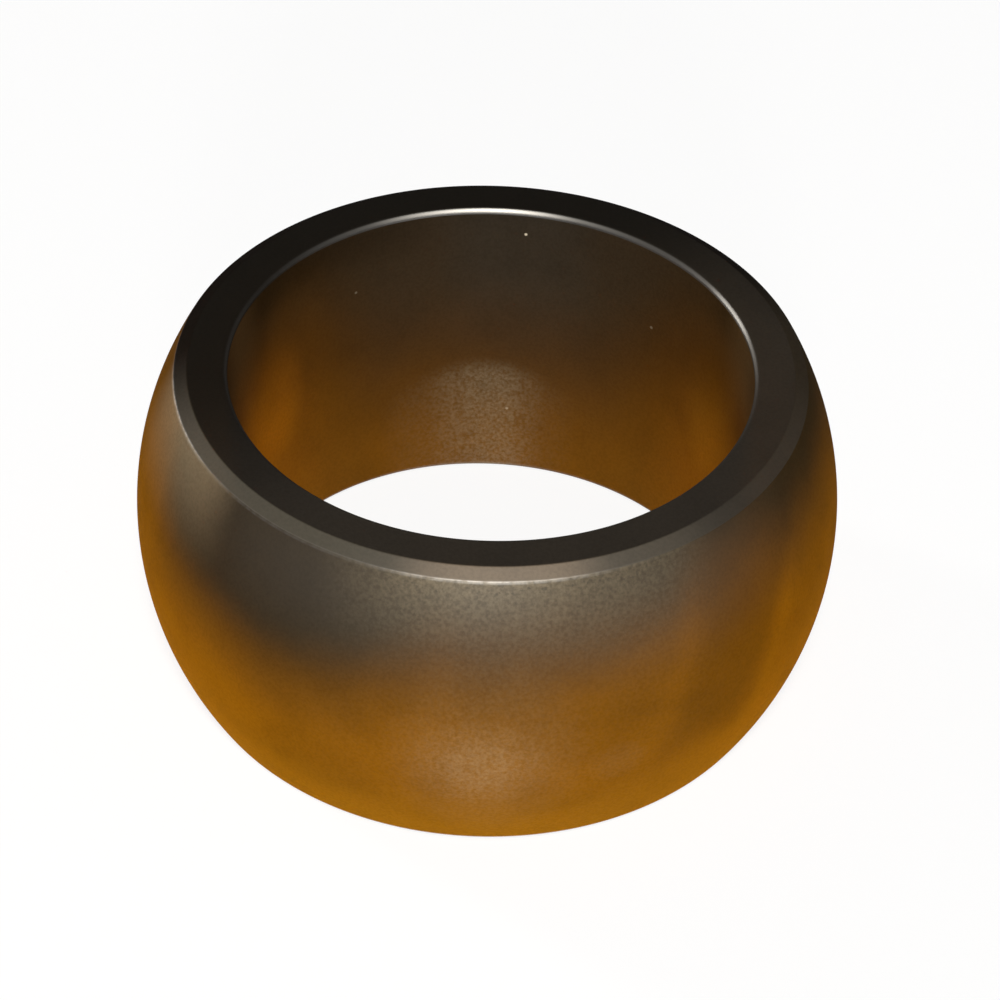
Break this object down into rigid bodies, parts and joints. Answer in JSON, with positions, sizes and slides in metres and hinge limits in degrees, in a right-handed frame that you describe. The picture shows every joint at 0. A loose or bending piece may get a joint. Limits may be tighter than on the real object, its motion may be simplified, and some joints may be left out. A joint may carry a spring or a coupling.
{
  "type": "glass ring insulator",
  "caption": "Smoky amber ground-glass ring insulator with a ball-zone outside, flat ground ends and a straight through bore.",
  "frame": {"origin": "centre of the ball that the outside is a zone of, on the bore's axis, midway between the end faces", "axes": "+Z along the bore, out of the upper end face; the ring is round about Z, so X and Y are any two square directions"},
  "size_m": [0.089, 0.089, 0.044],
  "materials": {
    "amber_glass": "smoky amber glass, satin ground all over, end faces ground finer than the ball and the bore"
  },
  "bodies": {
    "root": {"glass_ring": "amber_glass"}
  },
  "joints": []
}
